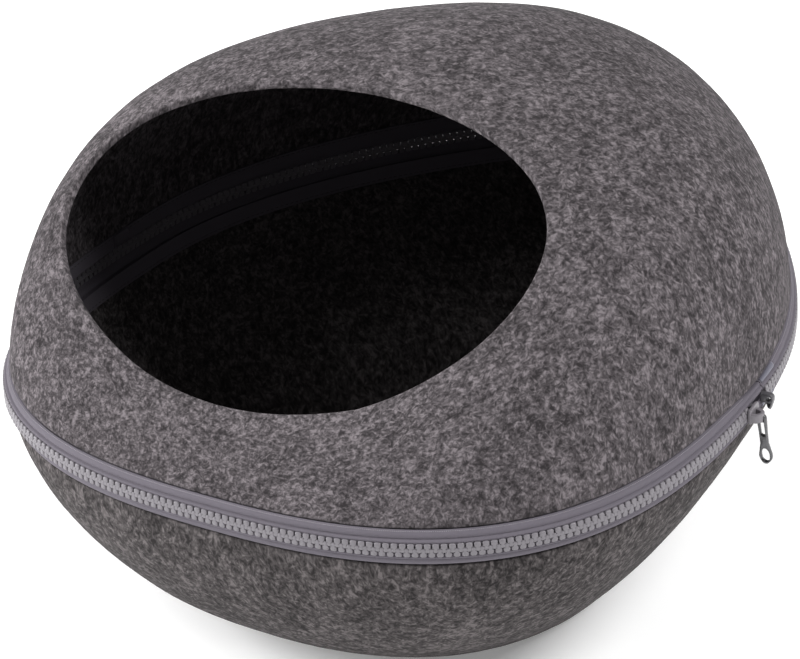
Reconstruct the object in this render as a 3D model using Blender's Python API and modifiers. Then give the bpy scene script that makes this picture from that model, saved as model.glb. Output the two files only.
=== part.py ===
"""Felt cat cave: an egg-shaped pet bed of two moulded felt halves joined by a zip all round.

Run with: blender --background --python part.py
Metres, +Z up. The base's centre is the origin, and the entrance faces -Y.
"""
import math

import bmesh
import bpy
from mathutils import Matrix, Vector

# ---- driving sizes (metres, degrees) ----
GAP = 0.00035                   # air left between neighbouring pieces
FELT = 0.004                    # thickness of the felt
SEGMENTS = 64                   # facets round the egg

HALF_LENGTH = 0.230             # to the outer face of the teeth, front to back
HALF_WIDTH = 0.1893             # to the outer face of the teeth, side to side
EGG = -0.135                    # widens the front end of the plan
NARROWING = -0.220              # narrows its back end further
FRONT_SQUARENESS = 2.5          # superellipse exponent of the plan's front half
ROUND = 2.0                     # exponent of an ellipse
SHARP = 35                      # edges that turn more than this are shaded sharp
WELD = 0.00001

SEAM_HEIGHT = 0.124             # middle of the teeth above the floor
DOME_HEIGHT = 0.1505            # top of the dome above the seam
HALF_BAND = 0.0105              # from the middle of the teeth to either felt edge
FELT_INSET = 0.0038             # the felt edges lie this far inside the teeth's outer face
DIP = {"depth": 0.003, "angle": -2.5, "reach": 7.5}   # the dome's edge sinks towards the zip's ends

DOME_FULLNESS = {"front": 1.01, "side": 2.67, "back": 1.89, "least": 1.12, "round_from": 33}
DOME_CROWN_SHIFT = -0.0173      # the top of the dome lies this far towards the entrance
DOME_CROWN_EGG = -0.44

BOWL_FULLNESS = {"front": 1.75, "side": 1.22, "back": 1.27, "least": 1.10, "round_from": 60}
BASE_SHARE = {"width": 0.465, "length": 0.510}   # the flat base as a share of the plan
BASE_SHIFT = -0.0025
BASE_EGG = -0.235
BASE_MIDDLE = Vector((0.003, -0.004, 0))   # where the flat base's facets meet

ENTRANCE = {"half_width": 0.1353, "half_height": 0.0905, "egg": 0.127, "skew": 0.05, "tilt": 36.3,
            "roll": 3.3, "sides": 60, "cut": 0.16}
ENTRANCE_CENTRE = Vector((-0.0126, -0.1197, SEAM_HEIGHT + 0.0935))

TEETH_DEPTH = 0.0032            # from the teeth's outer face to their inner face
TEETH_ROW = 0.0035              # height of one row of closed teeth
TAPE = 0.001                    # thickness of the zip's tape
TAPE_INSET = 0.001              # its edge beside the teeth lies this far inside their face
TAPE_LAP = 0.0068               # width of the tape sewn behind the felt
TAPE_DROP = 0.0006              # the tape bends this far short of the felt's edge
TAPE_AIR = 0.0009               # between tape and felt, whose facets twist at the front corners
TAPE_SLANT = {"root": 1.45, "knee": 0.43}   # keep the tape's thickness where it is cut and bent

SLIDER_ANGLE = -6.2             # where the slider sits, in degrees from +X
SLIDER = {"length": 0.0115, "wide": 0.0065, "narrow": 0.0048, "plate": 0.0018, "inside_plate": 0.0012,
          "inside_half": 0.0034, "inside_depth": 0.0039, "inside_setback": 0.001}
SHOULDER = {"start": 0.0045, "end": 0.0020, "nose": 0.0025}    # the plate's widest part, from its wide end
FLANGE = {"thickness": 0.0010, "depth": 0.0012}
POST = {"start": 0.0016, "end": 0.0048, "half": 0.0012, "from_teeth": 0.0010}
MERGE = 0.0003                  # how far joined blocks reach into each other
BAIL = {"span": 0.0084, "reach": 0.0064, "bar": 0.0013, "width": 0.0016, "offset": -0.0013}
PULL = {"length": 0.0297, "thickness": 0.0020, "top": 0.0025, "neck": 0.0020, "ring": 0.0032,
        "ring_half_length": 0.0043, "slot_length": 0.0130, "slot_half": 0.00115, "hole_length": 0.0082,
        "hole_half": 0.00245, "wall": 0.0011, "lean": 5.3}

BOX_ANGLE = -1.3                # where the zip's retainer box sits
BOX = {"length": 0.009, "half": 0.0035, "depth": 0.0015, "proud": 0.0046, "bevel": 0.0005}
LUG = {"reach": 0.0078, "half": 0.0031, "thickness": 0.0022}
EYE = {"out": 0.0016, "half_width": 0.0009, "half_height": 0.0017}   # out from the block's face
TAPE_ENDS = 0.1                 # degrees from the box's middle to either end of the tape

PATCH = {"start": 0.8, "end": 4.8, "low": 0.12, "high": 0.75, "thickness": 0.0006}
JOIN = {"start": -173.2, "end": -169.4}     # where the tape's end is lapped inside

DOME_RISES = (0, 4, 10, 17, 26, 35, 44, 53, 62, 71, 80)   # degrees up from the felt's edge
BOWL_RISES = (0, 4, 11, 20, 32, 45, 58, 70, 80, 90)


# ---- the egg's shape ----

def blend(start, end, share):
    return start + (end - start) * share


def plan_point(angle, inset=0.0, share=0.0, egg=EGG, narrowing=NARROWING):
    """A point of the egg's plan in the direction of angle; share turns it into a plain oval."""
    squareness = ROUND if math.sin(angle) >= 0 else blend(FRONT_SQUARENESS, ROUND, share)
    width = HALF_WIDTH - inset
    length = HALF_LENGTH - inset
    reach = abs(math.cos(angle) / width) ** squareness + abs(math.sin(angle) / length) ** squareness
    reach = reach ** (-1 / squareness)
    y = reach * math.sin(angle)
    back = max(y, 0) / length
    x = reach * math.cos(angle) * (1 + egg * y / length + narrowing * back ** 2)
    return Vector((x, y, 0))


def fullness(angle, rise, table):
    """Exponent of the wall's profile: above 2 it bulges, near 1 it runs straight."""
    ends = (table["front"] + table["back"]) / 4
    lean = (table["back"] - table["front"]) / 2 * math.sin(angle)
    waist = (table["side"] / 2 - ends) * math.cos(2 * angle)
    wall = max(ends + table["side"] / 2 + lean + waist, table["least"])
    start = table["round_from"]
    share = min(max((math.degrees(rise) - start) / (90 - start), 0), 1)
    return blend(wall, ROUND, share * share * (3 - 2 * share))


def profile(rise, exponent):
    """Shares of the reach and of the height along a wall, for a rise in radians."""
    level = max(math.cos(rise), 0)
    size = (level ** exponent + math.sin(rise) ** exponent) ** (1 / exponent)
    return level / size, math.sin(rise) / size


def dome_point(angle, rise):
    reach, height = profile(rise, fullness(angle, rise, DOME_FULLNESS))
    share = height ** 2
    egg = blend(EGG, DOME_CROWN_EGG, share)
    point = plan_point(angle, FELT_INSET, share, egg, NARROWING * (1 - share)) * reach
    point.y += DOME_CROWN_SHIFT * height
    away = (math.degrees(angle) - DIP["angle"] + 180) % 360 - 180
    edge = HALF_BAND - DIP["depth"] * math.exp(-(away / DIP["reach"]) ** 2)
    point.z = SEAM_HEIGHT + blend(edge, DOME_HEIGHT, height)
    return point


def bowl_point(angle, rise):
    reach, depth = profile(rise, fullness(angle, rise, BOWL_FULLNESS))
    egg = blend(BASE_EGG, EGG, reach)
    point = plan_point(angle, FELT_INSET, 1 - reach, egg, NARROWING * reach)
    point.x *= blend(BASE_SHARE["width"], 1, reach)
    point.y = point.y * blend(BASE_SHARE["length"], 1, reach) + BASE_SHIFT * (1 - reach)
    point.z = (SEAM_HEIGHT - HALF_BAND) * (1 - depth)
    return point


def ring_of(point_at):
    return [point_at(math.tau * step / SEGMENTS) for step in range(SEGMENTS)]


def wall_rings(point_at, rises):
    return [ring_of(lambda angle, rise=rise: point_at(angle, math.radians(rise))) for rise in rises]


def band_ring(inset, height):
    """A level ring beside the teeth: inset from their outer face, height from their middle."""
    def point_at(angle):
        return plan_point(angle, inset) + Vector((0, 0, SEAM_HEIGHT + height))
    return ring_of(point_at)


def on_ring(ring, angle):
    """The point of a ring's polygon at an angle in degrees."""
    turn = (angle % 360) / 360 * SEGMENTS
    step = int(turn)
    return ring[step % SEGMENTS].lerp(ring[(step + 1) % SEGMENTS], turn - step)


def inward(ring, beyond):
    """Unit normals that point into the egg, square to the wall that runs from ring to beyond."""
    normals = []
    for step, point in enumerate(ring):
        along = ring[(step + 1) % SEGMENTS] - ring[step - 1]
        normal = (beyond[step] - point).cross(along).normalized()
        towards_axis = Vector((-point.x, -point.y, 0))
        normals.append(normal if normal.dot(towards_axis) > 0 else -normal)
    return normals


def moved(ring, directions, distance):
    return [point + direction * distance for point, direction in zip(ring, directions)]


# ---- scene and mesh helpers ----

def clear_scene():
    for item in list(bpy.data.objects):
        bpy.data.objects.remove(item, do_unlink=True)


def collection_named(name):
    group = bpy.data.collections.new(name)
    bpy.context.scene.collection.children.link(group)
    return group


def material(name, colour, roughness, metallic=0.0):
    finish = bpy.data.materials.new(name)
    finish.use_nodes = True
    shader = finish.node_tree.nodes["Principled BSDF"]
    shader.inputs["Base Color"].default_value = (*colour, 1)
    shader.inputs["Roughness"].default_value = roughness
    shader.inputs["Metallic"].default_value = metallic
    return finish


def add_object(name, mesh, finish, group):
    mesh.shade_smooth()
    mesh.set_sharp_from_angle(angle=math.radians(SHARP))
    item = bpy.data.objects.new(name, mesh)
    item.data.materials.append(finish)
    group.objects.link(item)
    return item


def mesh_from(work, name):
    bmesh.ops.recalc_face_normals(work, faces=work.faces)
    mesh = bpy.data.meshes.new(name)
    work.to_mesh(mesh)
    work.free()
    return mesh


def skin(name, rings, crown):
    """One layer of wall lofted through rings and closed at the crown."""
    work = bmesh.new()
    rows = [[work.verts.new(point) for point in ring] for ring in rings]
    tip = work.verts.new(crown)
    for step in range(SEGMENTS):
        after = (step + 1) % SEGMENTS
        for lower, upper in zip(rows, rows[1:]):
            work.faces.new((lower[step], lower[after], upper[after], upper[step]))
        work.faces.new((rows[-1][step], rows[-1][after], tip))
    return mesh_from(work, name)


def strip(name, sections):
    """A closed bar lofted through its cross-sections, with flat ends."""
    work = bmesh.new()
    rows = [[work.verts.new(point) for point in section] for section in sections]
    size = len(rows[0])
    for here, there in zip(rows, rows[1:]):
        for corner in range(size):
            after = (corner + 1) % size
            work.faces.new((here[corner], here[after], there[after], there[corner]))
    work.faces.new(rows[0])
    work.faces.new(rows[-1])
    return mesh_from(work, name)


def strip_between(name, rings, start, end):
    """A bar whose cross-section's corners run on rings, from start to end in degrees."""
    step = 360 / SEGMENTS
    first = math.floor(start / step) + 1
    last = math.ceil(end / step) - 1
    angles = [start] + [step * turn for turn in range(first, last + 1)] + [end]
    return strip(name, [[on_ring(ring, angle) for ring in rings] for angle in angles])


def add_thickness(item, thickness):
    solid = item.modifiers.new("felt", "SOLIDIFY")
    solid.thickness = thickness
    solid.offset = -1
    solid.use_even_offset = True
    solid.use_quality_normals = True


def add_boolean(item, tool, operation):
    cut = item.modifiers.new(operation.lower(), "BOOLEAN")
    cut.operation = operation
    cut.solver = "EXACT"
    cut.object = tool


def add_bevel(item, width, segments=2):
    bevel = item.modifiers.new("edges", "BEVEL")
    bevel.width = width
    bevel.segments = segments
    bevel.limit_method = "ANGLE"


def cutter(item, group):
    item.hide_render = True
    item.display_type = "WIRE"
    group.objects.link(item)
    return item


def box_mesh(name, low, high):
    work = bmesh.new()
    bmesh.ops.create_cube(work, size=1)
    size = Vector(high) - Vector(low)
    middle = (Vector(high) + Vector(low)) / 2
    place = Matrix.Translation(middle) @ Matrix.Diagonal((*size, 1))
    bmesh.ops.transform(work, matrix=place, verts=work.verts)
    return mesh_from(work, name)


def flat_mesh(name, loops, thickness):
    """A flat piece cut from closed outlines in its own XY plane; the loops after the first are holes."""
    curve = bpy.data.curves.new(name, "CURVE")
    curve.dimensions = "2D"
    curve.fill_mode = "BOTH"
    curve.extrude = thickness / 2
    for loop in loops:
        spline = curve.splines.new("POLY")
        spline.points.add(len(loop) - 1)
        for point, (x, y) in zip(spline.points, loop):
            point.co = (x, y, 0, 1)
        spline.use_cyclic_u = True
    outline = bpy.data.objects.new(name, curve)
    bpy.context.scene.collection.objects.link(outline)
    graph = bpy.context.evaluated_depsgraph_get()
    mesh = bpy.data.meshes.new_from_object(outline.evaluated_get(graph))
    bpy.data.objects.remove(outline, do_unlink=True)
    bpy.data.curves.remove(curve)
    work = bmesh.new()
    work.from_mesh(mesh)
    bpy.data.meshes.remove(mesh)
    bmesh.ops.remove_doubles(work, verts=work.verts, dist=WELD)
    return mesh_from(work, name)


def arc(centre, radius_x, radius_y, start, end, steps):
    """Points on an ellipse's arc from start to end in degrees, both ends included."""
    points = []
    for step in range(steps + 1):
        turn = math.radians(start + (end - start) * step / steps)
        points.append((centre[0] + radius_x * math.cos(turn), centre[1] + radius_y * math.sin(turn)))
    return points


def oval(centre, radius_x, radius_y, steps):
    return arc(centre, radius_x, radius_y, 0, 360, steps)[:-1]


def seat_matrix(angle):
    """Axes on the zip: X out from the teeth's face, Y along the teeth away from the front, Z up."""
    face = band_ring(0, 0)
    facet = math.floor((angle % 360) / 360 * SEGMENTS)
    along = face[(facet + 1) % SEGMENTS] - face[facet]
    turn = math.atan2(along.y, along.x) - math.pi / 2
    return Matrix.Translation(on_ring(face, angle)) @ Matrix.Rotation(turn, 4, "Z")


def degrees_along(length, angle):
    """How many degrees of the plan a length along the teeth covers at an angle."""
    return math.degrees(length / plan_point(math.radians(angle)).length)


# ---- pieces ----

def upper_shell(finish, group, tools):
    rings = wall_rings(dome_point, DOME_RISES)
    crown = dome_point(0, math.radians(90))
    item = add_object("upper_shell", skin("upper_shell", rings, crown), finish, group)
    add_thickness(item, FELT)
    add_boolean(item, entrance_tool(tools), "DIFFERENCE")
    return item


def entrance_tool(group):
    """The egg-shaped cutter for the entrance, square to the front slope."""
    outline = []
    for step in range(ENTRANCE["sides"]):
        turn = math.tau * step / ENTRANCE["sides"]
        x = ENTRANCE["half_width"] * math.cos(turn) * (1 + ENTRANCE["egg"] * math.sin(turn))
        y = ENTRANCE["half_height"] * math.sin(turn) * (1 + ENTRANCE["skew"] * math.cos(turn))
        outline.append((x, y))
    item = bpy.data.objects.new("entrance_cutter", flat_mesh("entrance_cutter", [outline], ENTRANCE["cut"]))
    tilt = Matrix.Rotation(math.radians(ENTRANCE["tilt"]), 4, "X")
    roll = Matrix.Rotation(math.radians(ENTRANCE["roll"]), 4, "Z")
    item.matrix_world = Matrix.Translation(ENTRANCE_CENTRE) @ tilt @ roll
    return cutter(item, group)


def lower_shell(finish, group):
    rings = wall_rings(bowl_point, BOWL_RISES)
    item = add_object("lower_shell", skin("lower_shell", rings, BASE_MIDDLE), finish, group)
    add_thickness(item, FELT)
    return item


def tape_ring(side, place, depth):
    """A ring on one half of the tape (side 1 above the teeth, -1 below), depth inside its outer face.

    The root lies beside the teeth, the knee under the felt's edge, and the lap ends behind the felt.
    """
    if place == "root":
        return band_ring(TAPE_INSET + TAPE_SLANT["root"] * depth, side * (TEETH_ROW + 1.5 * GAP))
    edge, beyond = wall_rings(dome_point if side > 0 else bowl_point, DOME_RISES[:2])
    up_wall = [(far - near).normalized() for near, far in zip(edge, beyond)]
    behind = moved(edge, inward(edge, beyond), FELT + TAPE_AIR + depth)
    return moved(behind, up_wall, TAPE_LAP if place == "lap" else -TAPE_DROP - TAPE_SLANT["knee"] * depth)


def tape_strip(name, side, outer, inner, start, end, finish, group):
    """A length of bent tape from its outer to its inner depth, between two angles."""
    rings = [tape_ring(side, place, outer) for place in ("root", "knee", "lap")]
    rings += [tape_ring(side, place, inner) for place in ("lap", "knee", "root")]
    return add_object(name, strip_between(name, rings, start, end), finish, group)


def end_patch(name, side, finish, group):
    """The film on the tape's outer face, from beside the teeth to short of the felt."""
    root, knee = tape_ring(side, "root", 0), tape_ring(side, "knee", 0)
    outward = [-normal for normal in inward(root, knee)]
    low = [near.lerp(far, PATCH["low"]) for near, far in zip(root, knee)]
    high = [near.lerp(far, PATCH["high"]) for near, far in zip(root, knee)]
    top = GAP + PATCH["thickness"]
    rings = [moved(low, outward, GAP), moved(high, outward, GAP), moved(high, outward, top),
             moved(low, outward, top)]
    return add_object(name, strip_between(name, rings, PATCH["start"], PATCH["end"]), finish, group)


def teeth_row(name, side, start, end, finish, group):
    low, high = side * GAP / 2, side * (GAP / 2 + TEETH_ROW)
    rings = [band_ring(0, low), band_ring(0, high), band_ring(TEETH_DEPTH, high),
             band_ring(TEETH_DEPTH, low)]
    return add_object(name, strip_between(name, rings, start, end), finish, group)


def slider_body(finish, group, tools):
    """The outer plate with its two flanges, and the inner plate on the post between the rows."""
    seat = seat_matrix(SLIDER_ANGLE)
    half = SLIDER["length"] / 2
    wide, narrow, plate = SLIDER["wide"], SLIDER["narrow"], SLIDER["plate"]
    shoulder, nose = half - SHOULDER["start"], half - SHOULDER["end"]
    side = [(-half, narrow), (shoulder, wide), (nose, wide), (half, wide - SHOULDER["nose"])]
    outline = side + [(y, -z) for y, z in reversed(side)]
    stand = Matrix(((0, 0, 1, 0), (1, 0, 0, 0), (0, 1, 0, 0), (0, 0, 0, 1)))
    item = add_object("slider_body", flat_mesh("slider_body", [outline], plate), finish, group)
    item.data.transform(Matrix.Translation((GAP + plate / 2, 0, 0)) @ stand)
    item.matrix_world = seat
    inside, depth, post = SLIDER["inside_half"], SLIDER["inside_depth"], POST["half"]
    back = half - SLIDER["inside_setback"]
    top = GAP + MERGE
    blocks = [((-depth - SLIDER["inside_plate"], -back, -inside), (-depth, back, inside)),
              ((-depth - MERGE, POST["start"], -post), (top, POST["end"], post))]
    for sign in (1, -1):
        low, high = sorted((sign * (wide - FLANGE["thickness"]), sign * (wide - MERGE / 3)))
        blocks.append(((-FLANGE["depth"], shoulder, low), (top, nose, high)))
    for number, (low, high) in enumerate(blocks):
        name = f"slider_block_{number}"
        block = cutter(bpy.data.objects.new(name, box_mesh(name, low, high)), tools)
        block.matrix_world = seat
        add_boolean(item, block, "UNION")
    return item


def slider_bail(finish, group):
    """The arch over the slider's plate that the pull hangs on."""
    half, bar = BAIL["span"] / 2, BAIL["bar"]
    foot = 2 * GAP + SLIDER["plate"]
    rise = BAIL["reach"] - foot
    outer = arc((0, foot), half, rise, 0, 180, 14)
    inner = arc((0, foot), half - bar, rise - bar, 180, 0, 14)
    mesh = flat_mesh("slider_bail", [outer + inner], BAIL["width"])
    mesh.transform(Matrix(((0, 1, 0, 0), (1, 0, 0, 0), (0, 0, -1, 0), (0, 0, 0, 1))))
    item = add_object("slider_bail", mesh, finish, group)
    item.matrix_world = seat_matrix(SLIDER_ANGLE) @ Matrix.Translation((0, BAIL["offset"], 0))
    return item


def pull_tab(finish, group):
    """The pull hangs from the bail by its slot, with its flat sides facing along the teeth."""
    top, neck, ring, wall = PULL["top"], PULL["neck"], PULL["ring"], PULL["wall"]
    ring_length = PULL["ring_half_length"]
    ring_y = top + ring_length - PULL["length"]
    right = arc((0, 0), top, top, 90, 0, 6) + [(neck, -PULL["length"] / 2)]
    right += arc((0, ring_y), ring, ring_length, 15, -90, 9)
    outline = right + [(-x, y) for x, y in reversed(right[1:-1])]
    slot_half = PULL["slot_half"]
    slot_top = top - wall - slot_half
    slot_end = slot_top - PULL["slot_length"] + 2 * slot_half
    slot = arc((0, slot_top), slot_half, slot_half, 0, 180, 8)
    slot += arc((0, slot_end), slot_half, slot_half, 180, 360, 8)
    hole = oval((0, ring_y), PULL["hole_half"], PULL["hole_length"] / 2, 20)
    mesh = flat_mesh("pull_tab", [outline, slot, hole], PULL["thickness"])
    item = add_object("pull_tab", mesh, finish, group)
    upright = Matrix.Rotation(math.radians(90), 4, "X")
    lean = Matrix.Rotation(math.radians(-PULL["lean"]), 4, "Y")
    slot_above_bail = BAIL["width"] / 2 + 3 * GAP
    hang = Matrix.Translation((BAIL["reach"] - BAIL["bar"] / 2, BAIL["offset"],
                               slot_above_bail + wall - top))
    item.matrix_world = seat_matrix(SLIDER_ANGLE) @ hang @ lean @ upright
    return item


def zip_box(finish, group, tools):
    """The block that holds the zip's first end, with an eye standing out from it."""
    half_length = BOX["length"] / 2
    block = box_mesh("zip_box", (-BOX["depth"], -half_length, -BOX["half"]),
                     (BOX["proud"], half_length, BOX["half"]))
    item = add_object("zip_box", block, finish, group)
    item.matrix_world = seat_matrix(BOX_ANGLE)
    root, thickness = BOX["proud"] - BOX["bevel"], LUG["thickness"]
    outline = arc((root, 0), LUG["reach"] - root, LUG["half"], -90, 90, 12)
    outline += [(root - MERGE, LUG["half"]), (root - MERGE, -LUG["half"])]
    eye = oval((root + EYE["out"], 0), EYE["half_width"], EYE["half_height"], 16)
    lug = flat_mesh("zip_box_lug", [outline, eye], thickness)
    lug.transform(Matrix.Translation((0, -thickness, 0)) @ Matrix.Rotation(math.radians(90), 4, "X"))
    tool = cutter(bpy.data.objects.new("zip_box_lug", lug), tools)
    tool.matrix_world = item.matrix_world
    add_bevel(item, BOX["bevel"])
    add_boolean(item, tool, "UNION")
    return item


def main():
    clear_scene()
    group = collection_named("felt_cat_cave")
    tools = collection_named("cutters")
    felt = material("grey_felt", (0.125, 0.118, 0.122), 0.95)
    tape = material("zip_tape", (0.19, 0.18, 0.20), 0.85)
    teeth = material("zip_teeth", (0.23, 0.22, 0.24), 0.45)
    metal = material("gunmetal", (0.06, 0.06, 0.065), 0.35, 1.0)
    plastic = material("box_plastic", (0.06, 0.06, 0.065), 0.5)
    film = material("end_film", (0.12, 0.125, 0.16), 0.5)

    tape_start, tape_end = BOX_ANGLE + TAPE_ENDS, BOX_ANGLE - TAPE_ENDS + 360
    rows_start = BOX_ANGLE + degrees_along(BOX["length"] / 2 + 2 * GAP, BOX_ANGLE)
    rows_end = SLIDER_ANGLE + 360 + degrees_along(POST["start"] - POST["from_teeth"], SLIDER_ANGLE)
    pieces = [
        upper_shell(felt, group, tools),
        lower_shell(felt, group),
        tape_strip("tape_upper", 1, 0, TAPE, tape_start, tape_end, tape, group),
        tape_strip("tape_lower", -1, 0, TAPE, tape_start, tape_end, tape, group),
        teeth_row("teeth_upper", 1, rows_start, rows_end, teeth, group),
        teeth_row("teeth_lower", -1, rows_start, rows_end, teeth, group),
        slider_body(metal, group, tools),
        slider_bail(metal, group),
        pull_tab(metal, group),
        zip_box(plastic, group, tools),
        end_patch("end_patch_upper", 1, film, group),
        end_patch("end_patch_lower", -1, film, group),
        tape_strip("inner_tape_join", 1, TAPE + GAP, 2 * TAPE + GAP, JOIN["start"], JOIN["end"], tape,
                   group),
    ]
    root = bpy.data.objects.new("cat_cave", None)
    group.objects.link(root)
    for piece in pieces:
        piece.parent = root


main()
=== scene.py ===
import math

import bmesh
import bpy
import numpy as np
from mathutils import Matrix, Vector, noise


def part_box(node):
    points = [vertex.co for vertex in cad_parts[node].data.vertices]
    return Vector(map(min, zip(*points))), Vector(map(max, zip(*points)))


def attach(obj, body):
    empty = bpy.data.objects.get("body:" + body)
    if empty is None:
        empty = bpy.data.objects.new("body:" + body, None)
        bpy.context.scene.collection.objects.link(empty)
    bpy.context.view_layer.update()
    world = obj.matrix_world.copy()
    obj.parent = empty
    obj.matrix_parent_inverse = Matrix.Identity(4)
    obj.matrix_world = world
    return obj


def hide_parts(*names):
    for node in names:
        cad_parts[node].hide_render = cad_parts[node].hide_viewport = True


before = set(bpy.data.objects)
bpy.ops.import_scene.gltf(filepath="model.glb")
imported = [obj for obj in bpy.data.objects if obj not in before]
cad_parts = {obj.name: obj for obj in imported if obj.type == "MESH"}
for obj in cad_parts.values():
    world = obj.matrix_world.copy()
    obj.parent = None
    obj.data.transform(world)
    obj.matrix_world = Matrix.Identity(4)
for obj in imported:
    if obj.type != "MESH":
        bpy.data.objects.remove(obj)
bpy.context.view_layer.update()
print("frame loaded:", len(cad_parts), "nodes")

# the egg's plan and the two felt walls, in metres and degrees, as the CAD part has them
gap = 0.00035   # air between neighbouring solids
egg = {
    "halfLength": 0.230,
    "halfWidth": 0.1893,
    "egg": -0.135,
    "narrowing": -0.220,
    "frontSquareness": 2.5,
    "ovalPower": 2.0,
    "seamHeight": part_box("teeth_upper")[0].z - gap / 2,
    "halfBand": 0.0105,
    "feltInset": 0.0038,
    "mouldRadius": 0.21,
    "mouldStretch": 0.7,
}
dome = {
    "fullness": {"front": 1.01, "side": 2.67, "back": 1.89, "least": 1.12, "roundFrom": 33},
    "height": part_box("upper_shell")[1].z - egg["seamHeight"],
    "crownShift": -0.0173,
    "crownEgg": -0.44,
    "dip": {"depth": 0.003, "angle": -2.5, "reach": 7.5},
}
bowl = {
    "fullness": {"front": 1.75, "side": 1.22, "back": 1.27, "least": 1.10, "roundFrom": 60},
    "baseWidth": 0.465,
    "baseLength": 0.510,
    "baseShift": -0.0025,
    "baseEgg": -0.235,
}


def mix(start, end, share):
    return start + (end - start) * share


def stack(x, y, z):
    return np.stack(np.broadcast_arrays(x, y, z), axis=-1)


def planPoint(angle, inset=0.0, share=0.0, eggShape=None, narrowing=None):
    # angle in radians; share turns the squarer front half into a plain oval
    eggShape = egg["egg"] if eggShape is None else eggShape
    narrowing = egg["narrowing"] if narrowing is None else narrowing
    squareness = mix(egg["frontSquareness"], egg["ovalPower"], share)
    squareness = np.where(np.sin(angle) >= 0, egg["ovalPower"], squareness)
    width = egg["halfWidth"] - inset
    length = egg["halfLength"] - inset
    reach = np.abs(np.cos(angle) / width) ** squareness + np.abs(np.sin(angle) / length) ** squareness
    reach = reach ** (-1 / squareness)
    y = reach * np.sin(angle)
    back = np.maximum(y, 0) / length
    x = reach * np.cos(angle) * (1 + eggShape * y / length + narrowing * back ** 2)
    return stack(x, y, 0.0)


def wallFullness(angle, rise, table):
    # exponent of the wall's profile: above 2 it bulges, near 1 it runs straight
    ends = (table["front"] + table["back"]) / 4
    lean = (table["back"] - table["front"]) / 2 * np.sin(angle)
    waist = (table["side"] / 2 - ends) * np.cos(2 * angle)
    wall = np.maximum(ends + table["side"] / 2 + lean + waist, table["least"])
    share = np.clip((np.degrees(rise) - table["roundFrom"]) / (90 - table["roundFrom"]), 0, 1)
    return mix(wall, egg["ovalPower"], share * share * (3 - 2 * share))


def wallProfile(rise, exponent):
    # shares of the reach and of the height along a wall, for a rise in radians
    level = np.maximum(np.cos(rise), 0)
    size = (level ** exponent + np.sin(rise) ** exponent) ** (1 / exponent)
    return level / size, np.sin(rise) / size


def domePoint(angle, rise):
    reach, height = wallProfile(rise, wallFullness(angle, rise, dome["fullness"]))
    share = height ** 2
    point = planPoint(angle, egg["feltInset"], share, mix(egg["egg"], dome["crownEgg"], share),
                      egg["narrowing"] * (1 - share)) * reach[..., None]
    away = (np.degrees(angle) - dome["dip"]["angle"] + 180) % 360 - 180
    edge = egg["halfBand"] - dome["dip"]["depth"] * np.exp(-(away / dome["dip"]["reach"]) ** 2)
    lift = egg["seamHeight"] + mix(edge, dome["height"], height)
    return point + stack(0.0, dome["crownShift"] * height, lift)


def bowlPoint(angle, rise):
    reach, depth = wallProfile(rise, wallFullness(angle, rise, bowl["fullness"]))
    point = planPoint(angle, egg["feltInset"], 1 - reach, mix(bowl["baseEgg"], egg["egg"], reach),
                      egg["narrowing"] * reach)
    x = point[..., 0] * mix(bowl["baseWidth"], 1, reach)
    y = point[..., 1] * mix(bowl["baseLength"], 1, reach) + bowl["baseShift"] * (1 - reach)
    return stack(x, y, (egg["seamHeight"] - egg["halfBand"]) * (1 - depth))


def unit(vectors):
    return vectors / np.maximum(np.linalg.norm(vectors, axis=-1, keepdims=True), 1e-12)


def roundTangent(rows):
    # central difference along the closed direction, which is axis 1
    return unit(np.roll(rows, -1, axis=1) - np.roll(rows, 1, axis=1))


def placed(name, mesh, finish=None):
    if finish is not None:
        mesh.materials.append(finish)
    piece = bpy.data.objects.new(name, mesh)
    bpy.context.scene.collection.objects.link(piece)
    return piece


def gridMesh(name, rows, closedRows=False, tip=None):
    # a skin through rows of points; each row is a closed loop, and tip closes the last row
    count, size = rows.shape[:2]
    points = [tuple(point) for point in rows.reshape(-1, 3)]
    faces = []
    for row in range(count if closedRows else count - 1):
        here, there = row * size, (row + 1) % count * size
        for step in range(size):
            after = (step + 1) % size
            faces.append((here + step, here + after, there + after, there + step))
    if tip is not None:
        points.append(tuple(tip))
        last = (count - 1) * size
        faces += [(last + step, last + (step + 1) % size, len(points) - 1) for step in range(size)]
    mesh = bpy.data.meshes.new(name)
    mesh.from_pydata(points, [], faces)
    mesh.shade_smooth()
    return mesh


def addWoolPlace(mesh, middle):
    # where each point lay in the flat felt before it was moulded, and how far it is from the egg's centre
    points = np.empty(len(mesh.vertices) * 3)
    mesh.vertices.foreach_get("co", points)
    points = points.reshape(-1, 3)
    offset = points - middle
    away = np.linalg.norm(offset, axis=-1)
    turn = np.arcsin(np.minimum(away / 2 / egg["mouldRadius"], 1)) * egg["mouldStretch"]
    laid = 2 * egg["mouldRadius"] / egg["mouldStretch"] * np.tan(turn)
    flat = unit(offset * [1, 1, 0]) * laid[:, None]
    flat[:, 2] = np.linalg.norm(points - [0, 0, egg["seamHeight"]], axis=-1)
    layer = mesh.attributes.new("woolPlace", "FLOAT_VECTOR", "POINT")
    layer.data.foreach_set("vector", flat.ravel())


# the felt's unevenness
feltRelief = {
    "waveSize": 0.085,
    "waveHeight": 0.0011,
    "lumpSize": 0.019,
    "lumpHeight": 0.00022,
    "grainSize": 0.0052,
    "grainHeight": 0.00009,
    "seed": Vector((3.1, 7.7, 1.9)),
    "calmReach": 0.03,   # the long waves fade this near to an edge
}


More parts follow.
